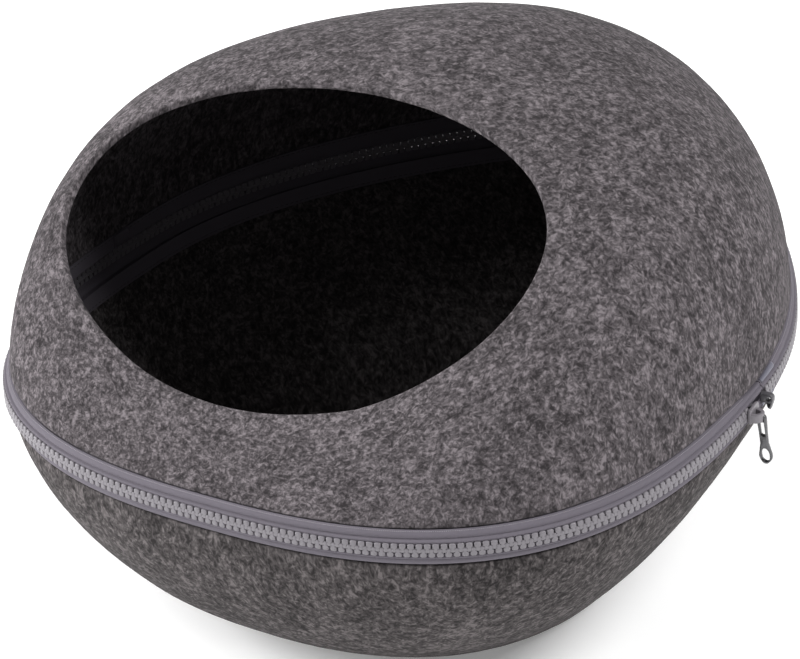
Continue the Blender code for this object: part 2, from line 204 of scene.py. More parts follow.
def reliefAt(points, calm):
    # how far each point of the felt stands out; calm holds the long waves down near the edges
    lifts = np.zeros(len(points))
    for number, point in enumerate(points):
        place = Vector(point)
        wave = noise.noise(place / feltRelief["waveSize"] + feltRelief["seed"])
        lump = noise.noise(place / feltRelief["lumpSize"] - feltRelief["seed"])
        grain = noise.noise(place / feltRelief["grainSize"] + feltRelief["seed"])
        lifts[number] = (wave * feltRelief["waveHeight"] * calm[number] + lump * feltRelief["lumpHeight"]
                         + grain * feltRelief["grainHeight"])
    return lifts


def sheetSection(rows, normals, thickness, corner, steps):
    # rows of a wall's outer face, cut edge to cut edge, closed into a sheet with rounded cut edges
    innerRows = (rows - normals * thickness)[::-1]
    rings = [rows]
    for end, towards in ((-1, rows[-1] - rows[-2]), (0, rows[0] - rows[1])):
        along = roundTangent(rows[end:end + 1] if end == 0 else rows[-1:])[0]
        normal = normals[end]
        out = unit(np.cross(normal, along))
        out *= np.sign(np.sum(out * towards, axis=-1, keepdims=True))
        turns = np.radians(np.linspace(0, 90, steps + 1)[1:])
        upper = [rows[end] - normal * corner * (1 - np.cos(turn)) + out * corner * np.sin(turn)
                 for turn in turns]
        lower = [rows[end] - normal * (thickness - corner * (1 - np.cos(turn))) + out * corner * np.sin(turn)
                 for turn in turns[::-1]]
        edge = np.array(upper + lower)
        if end == -1:
            rings.append(edge)
            rings.append(innerRows)
        else:
            rings.append(edge[::-1])
    return np.concatenate(rings)


# upper half: a moulded dome with the entrance cut out
domeSheet = {
    "thickness": 0.004,
    "columns": 480,
    "rows": 72,
    "corner": 0.0009,
    "cornerSteps": 3,
    "evenness": 0.55,   # how evenly the columns end on the lower edge
}
entrance = {
    "halfWidth": 0.1353,
    "halfHeight": 0.0905,
    "egg": 0.127,
    "skew": 0.05,
    "tilt": 36.3,
    "roll": 3.3,
    "centre": Vector((-0.0126, -0.1197, egg["seamHeight"] + 0.0935)),
    "reach": 0.08,   # the cut runs no further than this through the wall
}


def domeMapPoint(spot):
    # a flat map of the dome: its middle is the crown, and 90 from there is the felt's lower edge
    away = np.hypot(spot[..., 0], spot[..., 1])
    return domePoint(np.arctan2(spot[..., 1], spot[..., 0]), np.radians(90 - np.minimum(away, 90)))


def entranceOnMap():
    turns = np.linspace(0, math.tau, domeSheet["columns"], endpoint=False)
    x = entrance["halfWidth"] * np.cos(turns) * (1 + entrance["egg"] * np.sin(turns))
    y = entrance["halfHeight"] * np.sin(turns) * (1 + entrance["skew"] * np.cos(turns))
    turned = Matrix.Rotation(math.radians(entrance["tilt"]), 3, "X")
    turned = np.array(turned @ Matrix.Rotation(math.radians(entrance["roll"]), 3, "Z"))
    outline = np.array(entrance["centre"]) + stack(x, y, 0.0) @ turned.T
    across = turned[:, 2]
    # the nearest point of a net over the whole map starts each search
    ticks = np.linspace(-88, 88, 89)
    net = stack(*np.meshgrid(ticks, ticks), 0.0)[..., :2].reshape(-1, 2)
    net = net[np.hypot(net[:, 0], net[:, 1]) < 89]
    onDome = domeMapPoint(net)
    spots = []
    for point in outline:
        offset = onDome - point
        along = offset @ across
        miss = np.linalg.norm(offset - along[:, None] * across, axis=1)
        miss[np.abs(along) > entrance["reach"]] = 1
        spots.append([*net[np.argmin(miss)], along[np.argmin(miss)]])
    found = np.array(spots)
    small = 0.01
    for _ in range(12):   # Newton steps from the nearest net point onto the cut's own line
        miss = domeMapPoint(found[:, :2]) - outline - found[:, 2:] * across
        slopes = [(domeMapPoint(found[:, :2] + nudge) - domeMapPoint(found[:, :2] - nudge)) / small / 2
                  for nudge in ([small, 0], [0, small])]
        slopes.append(np.broadcast_to(-across, slopes[0].shape))
        found -= np.linalg.solve(np.stack(slopes, axis=-1), miss[..., None])[..., 0]
    return found[:, :2]


def makeDome(finish):
    # straight lines on the map run from the felt's lower edge to the entrance
    rim = entranceOnMap()
    middle = rim.mean(axis=0)
    ray = unit(rim - middle)
    nearSide = ray @ middle
    length = -nearSide + np.sqrt(nearSide ** 2 + 90 ** 2 - middle @ middle)
    rayEnd = middle + ray * length[:, None]
    rayAngle = np.unwrap(np.arctan2(rayEnd[:, 1], rayEnd[:, 0]))
    evenAngle = rayAngle[0] + np.linspace(0, math.tau, len(rim), endpoint=False)
    evenAngle += (rayAngle - evenAngle).mean()
    angle = mix(rayAngle, evenAngle, domeSheet["evenness"])
    edge = 90 * np.stack([np.cos(angle), np.sin(angle)], axis=-1)
    span = np.linalg.norm(domeMapPoint(rim) - domeMapPoint(edge), axis=1)
    trim = (domeSheet["corner"] / span)[None, :]
    share = np.linspace(0, 1, domeSheet["rows"])[:, None]
    share = trim + (1 - 2 * trim) * share
    spots = edge[None] + (rim - edge)[None] * share[..., None]
    rows = domeMapPoint(spots)
    small = 0.002
    ahead = domeMapPoint(edge[None] + (rim - edge)[None] * (share + small)[..., None])
    behind = domeMapPoint(edge[None] + (rim - edge)[None] * (share - small)[..., None])
    normals = unit(np.cross(roundTangent(rows), ahead - behind))
    normals *= np.sign(np.sum(normals * (rows - [0, 0, egg["seamHeight"]]), axis=-1, keepdims=True))
    calm = np.clip(np.minimum(share * span, (1 - share) * span) / feltRelief["calmReach"], 0, 1)
    lifts = reliefAt(rows.reshape(-1, 3), calm.ravel()).reshape(calm.shape)
    rows = rows + normals * lifts[..., None]
    rings = sheetSection(rows, normals, domeSheet["thickness"], domeSheet["corner"], domeSheet["cornerSteps"])
    mesh = gridMesh("feltDome", rings, closedRows=True)
    addWoolPlace(mesh, [0, dome["crownShift"], egg["seamHeight"] + dome["height"]])
    return placed("feltDome", mesh, finish)


# lower half: a moulded bowl with a flat base
bowlSheet = {
    "thickness": 0.004,
    "columns": 480,
    "rows": 66,
    "baseRows": 14,
    "baseMiddle": (0.003, -0.004, 0.0),
    "baseFade": 0.004,   # the unevenness fades this near to the floor
    "corner": 0.0009,
    "cornerSteps": 3,
    "trim": 0.45,        # the rows start this many degrees up, past the rounded cut edge
}


def makeBowl(finish):
    angles = np.linspace(0, math.tau, bowlSheet["columns"], endpoint=False)
    rises = np.radians(np.linspace(0, 90, bowlSheet["rows"]))
    trim = math.radians(bowlSheet["trim"])
    rises = trim + (math.pi / 2 - trim) * rises / rises[-1]
    around, up = np.meshgrid(angles, rises)
    rows = bowlPoint(around, up)
    small = 0.004
    slope = bowlPoint(around, np.minimum(up + small, math.pi / 2)) - bowlPoint(around, up - small)
    normals = unit(np.cross(roundTangent(rows), slope))
    normals *= np.sign(np.sum(normals * (rows - [0, 0, egg["seamHeight"]]), axis=-1, keepdims=True))
    height = rows[..., 2]
    fromEnds = np.minimum(height, egg["seamHeight"] - egg["halfBand"] - height)
    calm = np.clip(fromEnds / feltRelief["calmReach"], 0, 1)
    lifts = reliefAt(rows.reshape(-1, 3), calm.ravel()).reshape(calm.shape)
    rows = rows + normals * (lifts * np.clip(height / bowlSheet["baseFade"], 0, 1))[..., None]
    innerRows = rows - normals * bowlSheet["thickness"]
    innerRows[..., 2] = np.maximum(innerRows[..., 2], bowlSheet["thickness"])
    base = np.array(bowlSheet["baseMiddle"])
    innerMiddle = base + [0, 0, bowlSheet["thickness"]]
    inset = np.linspace(1, 0, bowlSheet["baseRows"] + 1)[1:-1, None, None]
    outerBase = base + (rows[-1] - base)[None] * inset
    innerBase = innerMiddle + (innerRows[-1] - innerMiddle)[None] * inset
    edge = sheetSection(rows[:2], normals[:2], bowlSheet["thickness"], bowlSheet["corner"],
                        bowlSheet["cornerSteps"])[-2 * bowlSheet["cornerSteps"]:]
    outer = np.concatenate([rows, outerBase])
    inner = np.concatenate([innerRows, innerBase])
    mesh = closedBowl(outer, inner, edge, base, innerMiddle)
    addWoolPlace(mesh, base)
    return placed("feltBowl", mesh, finish)


def closedBowl(outer, inner, edge, base, innerMiddle):
    # from the inner middle up the inner wall, over the cut edge and down the outer wall
    rows = np.concatenate([inner[::-1], edge, outer])
    mesh = gridMesh("feltBowl", rows, tip=base)
    work = bmesh.new()
    work.from_mesh(mesh)
    size = rows.shape[1]
    middle = work.verts.new(tuple(innerMiddle))
    work.verts.ensure_lookup_table()
    for step in range(size):
        work.faces.new((work.verts[(step + 1) % size], work.verts[step], middle))
    bmesh.ops.recalc_face_normals(work, faces=work.faces)
    for face in work.faces:
        face.smooth = True
    work.to_mesh(mesh)
    work.free()
    return mesh


# zip tapes: a cord inside the teeth, a corded bead, a soft bulge that covers the felt's cut edge, and
# the lap sewn behind the felt
zipTape = {
    "thickness": 0.0009,
    "columns": 900,
    "start": -1.2,
    "end": 358.6,
    "bulgeSteps": (0.0, 0.12, 0.28, 0.45, 0.62, 0.78, 0.9, 0.98),   # shares of the way to the felt
    "underSteps": (0.0012, 0.0028),                                 # inwards under the felt's cut edge
    "lapSteps": (0.0009, 0.0022, 0.0040, 0.0056, 0.0068),           # up behind the felt
    "innerHeights": (0.0052, 0.0036, 0.0026),                       # down the inner face to the teeth
    "bead": {"depth": 0.0017, "height": 0.0043, "radius": 0.00095},
    "groove": {"depth": 0.00215, "height": 0.0055},
    "cord": {"depth": 0.0019, "height": 0.0027, "radius": 0.0007},
    "bulge": 0.0009,
    "under": 0.0006,     # it bends this far short of the felt's cut edge
    "tuck": 0.0003,      # the bulge ends this far inside the felt's outer face
    "behind": 0.00035,   # air between the felt and the lap
}


def bandPoint(angles, inset, height):
    return planPoint(angles, inset) + np.array([0, 0, egg["seamHeight"] + height])


def feltEdge(side, angles):
    # the felt's outer edge, with the directions up its wall, along it and outwards
    wall = domePoint if side > 0 else bowlPoint
    edge = wall(angles, np.zeros_like(angles))
    upWall = unit(wall(angles, np.full_like(angles, math.radians(4))) - edge)
    along = unit(bandPoint(angles + 0.002, 0, 0) - bandPoint(angles - 0.002, 0, 0))
    out = unit(np.cross(upWall, along))
    out *= np.sign(np.sum(out * stack(edge[:, 0], edge[:, 1], 0.0), axis=-1, keepdims=True))
    return edge, upWall, along, out


def bulgeRow(side, angles, share, depth):
    # a line of the tape's outer face between the groove and the felt's edge
    edge, upWall, along, out = feltEdge(side, angles)
    low = bandPoint(angles, zipTape["groove"]["depth"], side * zipTape["groove"]["height"])
    high = edge - upWall * zipTape["under"] - out * zipTape["tuck"]
    lean = unit(np.cross(high - low, along))
    lean *= np.sign(np.sum(lean * out, axis=-1, keepdims=True))
    lift = zipTape["bulge"] * math.sin(math.pi * share ** 0.85) ** 0.9
    return low + (high - low) * share + lean * (lift - depth)


def arcRow(side, angles, circle, turn):
    turn = math.radians(turn)
    return bandPoint(angles, circle["depth"] - circle["radius"] * math.cos(turn),
                     side * (circle["height"] + circle["radius"] * math.sin(turn)))


def tapeSection(side, angles):
    edge, upWall, _, out = feltEdge(side, angles)
    thick, under = zipTape["thickness"], zipTape["under"]
    felt = domeSheet["thickness"] + zipTape["behind"]
    # the outer face: round the cord and the bead, over the bulge, under the felt and up behind it
    rows = [arcRow(side, angles, zipTape["cord"], turn) for turn in (-90, -45, 0, 45)]
    rows += [arcRow(side, angles, zipTape["bead"], turn) for turn in (-50, -25, 0, 25, 50, 75)]
    shares, laps, steps = zipTape["bulgeSteps"], zipTape["lapSteps"], zipTape["underSteps"]
    rows += [bulgeRow(side, angles, share, 0.0) for share in shares]
    rows += [edge - upWall * under - out * reach for reach in (*steps, felt)]
    rows += [edge + upWall * reach - out * felt for reach in laps]
    # and back along the inner face
    rows += [edge + upWall * reach - out * (felt + thick) for reach in laps[::-1]]
    rows += [edge - upWall * (under + thick) - out * reach for reach in (felt + thick, *steps[::-1])]
    rows += [bulgeRow(side, angles, share, thick) for share in shares[:0:-1]]
    rows += [bandPoint(angles, zipTape["bead"]["depth"] + thick, side * height)
             for height in zipTape["innerHeights"]]
    return np.array(rows)


def stripMesh(name, rows, measureAlong):
    # rows of the closed section against columns along the strip, with flat ends and a UV map in metres
    count, size = rows.shape[:2]
    mesh = bpy.data.meshes.new(name)
    points = [tuple(point) for point in rows.reshape(-1, 3)]
    faces = []
    widths = np.linalg.norm(np.roll(rows, -1, axis=0) - rows, axis=-1).mean(axis=1)
    around = np.concatenate([[0], np.cumsum(widths)])
    places = []
    for row in range(count):
        here, there = row * size, (row + 1) % count * size
        for step in range(size - 1):
            faces.append((here + step, here + step + 1, there + step + 1, there + step))
            places += [(measureAlong[step], around[row]), (measureAlong[step + 1], around[row]),
                       (measureAlong[step + 1], around[row + 1]), (measureAlong[step], around[row + 1])]
    faces.append(tuple(row * size for row in range(count)))
    faces.append(tuple(row * size + size - 1 for row in reversed(range(count))))
    places += [(measureAlong[0], around[row]) for row in range(count)]
    places += [(measureAlong[-1], around[row]) for row in reversed(range(count))]
    mesh.from_pydata(points, [], faces)
    layer = mesh.uv_layers.new(name="weaveMap")
    layer.uv.foreach_set("vector", np.array(places, np.float32).ravel())
    work = bmesh.new()
    work.from_mesh(mesh)
    bmesh.ops.recalc_face_normals(work, faces=work.faces)
    for face in work.faces:
        face.smooth = len(face.verts) == 4
    work.to_mesh(mesh)
    work.free()
    return mesh


def arcLength(points):
    return np.concatenate([[0], np.cumsum(np.linalg.norm(np.diff(points, axis=0), axis=-1))])


def makeTape(name, side, finish):
    angles = np.radians(np.linspace(zipTape["start"], zipTape["end"], zipTape["columns"]))
    mesh = stripMesh(name, tapeSection(side, angles), arcLength(bandPoint(angles, 0, 0)))
    mesh.set_sharp_from_angle(angle=math.radians(60))
    return placed(name, mesh, finish)


# thin pieces that follow the tape: the film on its ends, and the join lapped over it inside
tapeEnds = {
    "filmStart": -0.9,
    "filmEnd": 4.4,
    "filmSteps": (0.06, 0.2, 0.35, 0.5, 0.65, 0.8, 0.92),   # shares across the tape's bulge
    "film": 0.00025,     # its thickness
    "joinStart": -173.2,
    "joinEnd": -169.4,
    "joinShares": (0.2, 0.45, 0.7),                        # across the inner face of the bulge
    "joinUnder": 0.0024,
    "joinLaps": (-0.0002, 0.0022, 0.0045, 0.0066),         # up the inner face of the lap
    "join": 0.0009,      # its thickness, and how much its folded edges add
    "fold": 0.0004,
    "air": 0.0001,       # between these and the tape
}


def followStrip(name, outer, inner, angles, finish):
    rows = np.concatenate([outer, inner[::-1]])
    return placed(name, stripMesh(name, rows, arcLength(bandPoint(angles, 0, 0))), finish)


def makeFilm(name, side, finish):
    angles = np.radians(np.linspace(tapeEnds["filmStart"], tapeEnds["filmEnd"], 20))
    outer, inner = (np.array([bulgeRow(side, angles, share, -lift) for share in tapeEnds["filmSteps"]])
                    for lift in (tapeEnds["air"] + tapeEnds["film"], tapeEnds["air"]))
    return followStrip(name, outer, inner, angles, finish)


def makeJoin(finish):
    # over the upper tape's inner face, with a folded edge at either end
    angles = np.radians(np.linspace(tapeEnds["joinStart"], tapeEnds["joinEnd"], 24))
    edge, upWall, _, out = feltEdge(1, angles)
    thick = zipTape["thickness"]
    behind = domeSheet["thickness"] + zipTape["behind"] + thick
    place = np.linspace(0, 1, len(angles))
    folded = tapeEnds["fold"] * np.clip((np.abs(place - 0.5) - 0.36) / 0.03, 0, 1)
    faces = []
    for extra in (tapeEnds["air"] * np.ones_like(folded), tapeEnds["air"] + tapeEnds["join"] + folded):
        deeper = extra[:, None]
        rows = [bulgeRow(1, angles, share, thick) - out * deeper for share in tapeEnds["joinShares"]]
        rows += [edge - upWall * (zipTape["under"] + thick) - out * (tapeEnds["joinUnder"] + deeper)]
        rows += [edge + upWall * reach - out * (behind + deeper)
                 for reach in tapeEnds["joinLaps"]]
        faces.append(np.array(rows))
    return followStrip("tapeJoin", faces[0], faces[1], angles, finish)


# what repeats along the zip is set out by geometry nodes
def addNode(tree, kind, inputs=None, **settings):
    node = tree.nodes.new(kind)
    for key, value in settings.items():
        setattr(node, key, value)
    for key, value in (inputs or {}).items():
        node.inputs[key].default_value = value
    return node


def alongPathTree():
    # sets a shape along a path at an even pitch, upright, with its Y axis along the path
    tree = bpy.data.node_groups.new("alongPath", "GeometryNodeTree")
    for label in ("Geometry", "Pitch", "Shape", "Material"):
        kind = {"Pitch": "Float", "Shape": "Object"}.get(label, label)
        tree.interface.new_socket(name=label, in_out="INPUT", socket_type="NodeSocket" + kind)
    tree.interface.new_socket(name="Geometry", in_out="OUTPUT", socket_type="NodeSocketGeometry")
    given = addNode(tree, "NodeGroupInput")
    shown = addNode(tree, "NodeGroupOutput")
    path = addNode(tree, "GeometryNodeMeshToCurve")
    even = addNode(tree, "GeometryNodeResampleCurve", mode="LENGTH")
    way = addNode(tree, "GeometryNodeInputTangent")
    turn = addNode(tree, "FunctionNodeAlignRotationToVector", axis="Y", pivot_axis="Z")
    shape = addNode(tree, "GeometryNodeObjectInfo")
    spread = addNode(tree, "GeometryNodeInstanceOnPoints")
    real = addNode(tree, "GeometryNodeRealizeInstances")
    finish = addNode(tree, "GeometryNodeSetMaterial")
    link = tree.links.new
    link(given.outputs["Geometry"], path.inputs["Mesh"])
    link(path.outputs["Curve"], even.inputs["Curve"])
    link(given.outputs["Pitch"], even.inputs["Length"])
    link(even.outputs["Curve"], spread.inputs["Points"])
    link(way.outputs["Tangent"], turn.inputs["Vector"])
    link(turn.outputs["Rotation"], spread.inputs["Rotation"])
    link(given.outputs["Shape"], shape.inputs["Object"])
    link(shape.outputs["Geometry"], spread.inputs["Instance"])
    link(spread.outputs["Instances"], real.inputs["Geometry"])
    link(real.outputs["Geometry"], finish.inputs["Geometry"])
    link(given.outputs["Material"], finish.inputs["Material"])
    link(finish.outputs["Geometry"], shown.inputs["Geometry"])
    return tree


alongPath = alongPathTree()


def setAlong(name, points, shapeMesh, pitch, finish):
    # one shape at every pitch along a line of points, kept as a plain mesh
    path = bpy.data.meshes.new("path")
    path.from_pydata([tuple(point) for point in points], [(n, n + 1) for n in range(len(points) - 1)], [])
    holder = placed(name + "Path", path)
    shape = placed(name + "Shape", shapeMesh)
    values = {"Pitch": pitch, "Shape": shape, "Material": finish}
    modifier = holder.modifiers.new("grow", "NODES")
    modifier.node_group = alongPath
    for item in alongPath.interface.items_tree:
        if item.in_out == "INPUT" and item.name in values:
            modifier[item.identifier] = values[item.name]
    graph = bpy.context.evaluated_depsgraph_get()
    result = bpy.data.meshes.new_from_object(holder.evaluated_get(graph))
    result.name = name
    for number in reversed(range(len(result.materials))):
        if result.materials[number] is None:
            result.materials.pop(index=number)
    bpy.data.objects.remove(holder, do_unlink=True)
    bpy.data.objects.remove(shape, do_unlink=True)
    return placed(name, result)


# zip teeth
zipTeeth = {
    "pitch": 0.00406,
    "depth": 0.0032,
    "round": 0.00035,
    "shoulder": 0.0003,
    "tip": 0.0004,
    "bodyHalf": 0.00166,
    "footHalf": 0.00085,
    "neckHalf": 0.0009,
    "headHalf": 0.0012,
    "footTop": 0.0037,
    "bodyTop": 0.0033,
    "bodyLow": 0.0014,
    "neckAt": 0.0009,
    "headHigh": 0.0001,
    "headLow": -0.0013,
    "middle": 0.0015,    # the rounded faces shrink towards this height
    "start": 0.0,
    "end": 353.9,
    "pathSteps": 1600,
}


def toothMesh(side):
    # outline across the tape (Z) and along it (Y), thickened inwards from the outer face, which is at X 0
    size = zipTeeth
    half = [(size["footHalf"], size["footTop"]), (size["bodyHalf"] * 0.92, size["bodyTop"]),
            (size["bodyHalf"], size["bodyTop"] - size["shoulder"]), (size["bodyHalf"], size["bodyLow"]),
            (size["neckHalf"], size["neckAt"]), (size["headHalf"], size["headHigh"]),
            (size["headHalf"], size["headLow"] + size["tip"]), (size["headHalf"] * 0.6, size["headLow"])]
    outline = half + [(-y, z) for y, z in reversed(half)]
    middle = size["middle"]
    work = bmesh.new()
    rings = []
    for depth, shrink in ((0.0, 0.80), (size["round"] * 0.5, 0.93), (size["round"] * 1.4, 1.0),
                          (size["depth"] - size["round"] * 1.4, 1.0), (size["depth"], 0.82)):
        rings.append([work.verts.new((-depth, y * shrink, side * (middle + (z - middle) * shrink)))
                      for y, z in outline])
    for here, there in zip(rings, rings[1:]):
        for corner in range(len(outline)):
            after = (corner + 1) % len(outline)
            work.faces.new((here[corner], here[after], there[after], there[corner]))
    work.faces.new(rings[0])
    work.faces.new(rings[-1])
    bmesh.ops.recalc_face_normals(work, faces=work.faces)
    mesh = bpy.data.meshes.new("tooth")
    work.to_mesh(mesh)
    work.free()
    mesh.shade_smooth()
    mesh.set_sharp_from_angle(angle=math.radians(38))
    return mesh


def makeTeeth(name, side, offset, finish):
    # offset is the row's start in pitches, so that the two rows interlock
    angles = np.radians(np.linspace(zipTeeth["start"], zipTeeth["end"], zipTeeth["pathSteps"]))
    line = bandPoint(angles, 0, 0)
    whole = arcLength(line)
    count = int(whole[-1] / zipTeeth["pitch"]) - 1
    begin = offset * zipTeeth["pitch"]
    keep = np.linspace(begin, begin + count * zipTeeth["pitch"], zipTeeth["pathSteps"])
    points = np.stack([np.interp(keep, whole, line[:, axis]) for axis in range(3)], axis=-1)
    return setAlong(name, points, toothMesh(side), zipTeeth["pitch"], finish)


# stitches: a fine row where the tape meets the felt, and a coarser one along the lap inside
stitches = {
    "start": 1.0,
    "end": 352.5,
    "pathSteps": 1600,
    "fine": {"pitch": 0.00105, "length": 0.00075, "width": 0.00042, "share": 0.8, "proud": 0.00005},
    "inside": {"pitch": 0.0031, "length": 0.0024, "width": 0.00055, "reach": 0.0054},
}


def stitchMesh(values):
    work = bmesh.new()
    bmesh.ops.create_uvsphere(work, u_segments=6, v_segments=4, radius=0.5)
    for vert in work.verts:
        x, y, z = vert.co
        vert.co = Vector((x * values["width"], z * values["length"], y * values["width"]))
    bmesh.ops.recalc_face_normals(work, faces=work.faces)
    mesh = bpy.data.meshes.new("stitch")
    work.to_mesh(mesh)
    work.free()
    mesh.shade_smooth()
    return mesh


def makeStitches(name, kind, side, finish):
    values = stitches[kind]
    angles = np.radians(np.linspace(stitches["start"], stitches["end"], stitches["pathSteps"]))
    if kind == "fine":
        line = bulgeRow(side, angles, values["share"], -values["proud"])
    else:
        edge, upWall, _, out = feltEdge(side, angles)
        behind = domeSheet["thickness"] + zipTape["behind"] + zipTape["thickness"]
        line = edge + upWall * values["reach"] - out * behind
    return setAlong(name, line, stitchMesh(values), values["pitch"], finish)


# materials
def newMaterial(name):
    finish = bpy.data.materials.new(name)
    finish.use_nodes = True
    return finish, finish.node_tree, finish.node_tree.nodes["Principled BSDF"]


heather = {
    "sizes": {"Size": 0.00225, "Stretch": 2.5, "Cloud Size": 0.0062, "Cloud Share": 0.48,
              "Patch Size": 0.03, "Patch Share": 0.22},
    "lightTurns": (8, 52, 97, 141),
    "darkTurns": (29, 75, 118, 166),
}


def addShades(tree, shader, mask, colour, dark, light):
    # the base colour runs from a darker to a lighter shade over a mask
    shade = addNode(tree, "ShaderNodeMix", data_type="RGBA", blend_type="MIX")
    shade.inputs[6].default_value = (*[value * dark for value in colour], 1)
    shade.inputs[7].default_value = (*[value * light for value in colour], 1)
    tree.links.new(mask, shade.inputs[0])
    tree.links.new(shade.outputs[2], shader.inputs["Base Color"])


def addRelief(tree, shader, height, strength, distance):
    relief = addNode(tree, "ShaderNodeBump", {"Strength": strength, "Distance": distance})
    tree.links.new(height, relief.inputs["Height"])
    tree.links.new(relief.outputs["Normal"], shader.inputs["Normal"])


def fibreGroup():
    # heathered wool: light and dark fibres lying every way in the sheet, over soft clouds
    group = bpy.data.node_groups.new("heatherFibres", "ShaderNodeTree")
    for label, value in heather["sizes"].items():
        socket = group.interface.new_socket(name=label, in_out="INPUT", socket_type="NodeSocketFloat")
        socket.default_value = value
    for label in ("Tone", "Height"):
        group.interface.new_socket(name=label, in_out="OUTPUT", socket_type="NodeSocketFloat")
    given = addNode(group, "NodeGroupInput")
    shown = addNode(group, "NodeGroupOutput")
    place = addNode(group, "ShaderNodeAttribute", attribute_name="woolPlace")
    link = group.links.new

    def divided(label):
        rate = addNode(group, "ShaderNodeMath", {0: 1.0}, operation="DIVIDE")
        link(given.outputs[label], rate.inputs[1])
        return rate.outputs[0]

    squeeze = addNode(group, "ShaderNodeCombineXYZ", {"Y": 1.0, "Z": 1.0})
    link(divided("Stretch"), squeeze.inputs["X"])
    rate = divided("Size")
    tops = []
    for turns in (heather["lightTurns"], heather["darkTurns"]):
        top = None
        for turn in turns:
            turned = addNode(group, "ShaderNodeVectorRotate",
                             {"Angle": math.radians(turn), "Center": (0.31 + turn * 0.01, 0.47, 0.0)},
                             rotation_type="Z_AXIS")
            link(place.outputs["Vector"], turned.inputs["Vector"])
            slim = addNode(group, "ShaderNodeVectorMath", operation="MULTIPLY")
            link(turned.outputs["Vector"], slim.inputs[0])
            link(squeeze.outputs["Vector"], slim.inputs[1])
            grain = addNode(group, "ShaderNodeTexNoise",
                            {"Detail": 1.0, "Roughness": 0.5, "Distortion": 0.35})
            link(slim.outputs["Vector"], grain.inputs["Vector"])
            link(rate, grain.inputs["Scale"])
            if top is None:
                top = grain.outputs["Fac"]
                continue
            larger = addNode(group, "ShaderNodeMath", operation="MAXIMUM")
            link(top, larger.inputs[0])
            link(grain.outputs["Fac"], larger.inputs[1])
            top = larger.outputs[0]
        tops.append(top)
    strands = addNode(group, "ShaderNodeMath", operation="SUBTRACT")
    link(tops[0], strands.inputs[0])
    link(tops[1], strands.inputs[1])
    tone = strands.outputs[0]
    for size, share in (("Cloud Size", "Cloud Share"), ("Patch Size", "Patch Share")):
        cloud = addNode(group, "ShaderNodeTexNoise", {"Detail": 2.0, "Roughness": 0.55})
        link(place.outputs["Vector"], cloud.inputs["Vector"])
        link(divided(size), cloud.inputs["Scale"])
        centred = addNode(group, "ShaderNodeMath", {1: 0.5}, operation="SUBTRACT")
        link(cloud.outputs["Fac"], centred.inputs[0])
        clouded = addNode(group, "ShaderNodeMath", operation="MULTIPLY_ADD")
        link(centred.outputs[0], clouded.inputs[0])
        link(given.outputs[share], clouded.inputs[1])
        link(tone, clouded.inputs[2])
        tone = clouded.outputs[0]
    link(tone, shown.inputs["Tone"])
    link(strands.outputs[0], shown.inputs["Height"])
    return group


def feltMaterial(name, fibres, look):
    finish, tree, shader = newMaterial(name)
    link = tree.links.new
    wool = addNode(tree, "ShaderNodeGroup", node_tree=fibres)
    spread = addNode(tree, "ShaderNodeMapRange",
                     {"From Min": -look["contrast"], "From Max": look["contrast"]})
    link(wool.outputs["Tone"], spread.inputs["Value"])
    ramp = addNode(tree, "ShaderNodeValToRGB")
    stops = ramp.color_ramp.elements
    for step, shade in enumerate(look["shades"]):
        position = step / (len(look["shades"]) - 1)
        stop = stops[0] if position == 0 else stops[-1] if position == 1 else stops.new(position)
        stop.color = (*[value * shade for value in look["colour"]], 1)
    link(spread.outputs["Result"], ramp.inputs["Fac"])
    link(ramp.outputs["Color"], shader.inputs["Base Color"])
    addRelief(tree, shader, wool.outputs["Height"], look["bump"], look["bumpDepth"])
    shader.inputs["Roughness"].default_value = 0.95
    shader.inputs["Specular IOR Level"].default_value = 0.08
    shader.inputs["Sheen Weight"].default_value = 0.02
    shader.inputs["Sheen Roughness"].default_value = 0.5
    return finish


def tapeMaterial(name, colour):
    finish, tree, shader = newMaterial(name)
    link = tree.links.new
    place = addNode(tree, "ShaderNodeUVMap", uv_map="weaveMap")
    ribs = addNode(tree, "ShaderNodeTexWave", {"Scale": 480.0, "Distortion": 0.6, "Detail": 1.0},
                   bands_direction="X")
    link(place.outputs["UV"], ribs.inputs["Vector"])
    lines = addNode(tree, "ShaderNodeTexWave", {"Scale": 700.0, "Distortion": 0.3}, bands_direction="Y")
    link(place.outputs["UV"], lines.inputs["Vector"])
    both = addNode(tree, "ShaderNodeMath", operation="MULTIPLY")
    link(ribs.outputs["Fac"], both.inputs[0])
    link(lines.outputs["Fac"], both.inputs[1])
    addShades(tree, shader, both.outputs[0], colour, 0.86, 1.08)
    addRelief(tree, shader, both.outputs[0], 0.5, 0.00012)
    shader.inputs["Roughness"].default_value = 0.8
    shader.inputs["Specular IOR Level"].default_value = 0.3
    return finish


def plasticMaterial(name, colour, roughness):
    finish, tree, shader = newMaterial(name)
    place = addNode(tree, "ShaderNodeTexCoord")
    cloud = addNode(tree, "ShaderNodeTexNoise", {"Scale": 900.0, "Detail": 3.0})
    tree.links.new(place.outputs["Object"], cloud.inputs["Vector"])
    addShades(tree, shader, cloud.outputs["Fac"], colour, 0.88, 1.12)
    addRelief(tree, shader, cloud.outputs["Fac"], 0.2, 0.00005)
    shader.inputs["Roughness"].default_value = roughness
    return finish


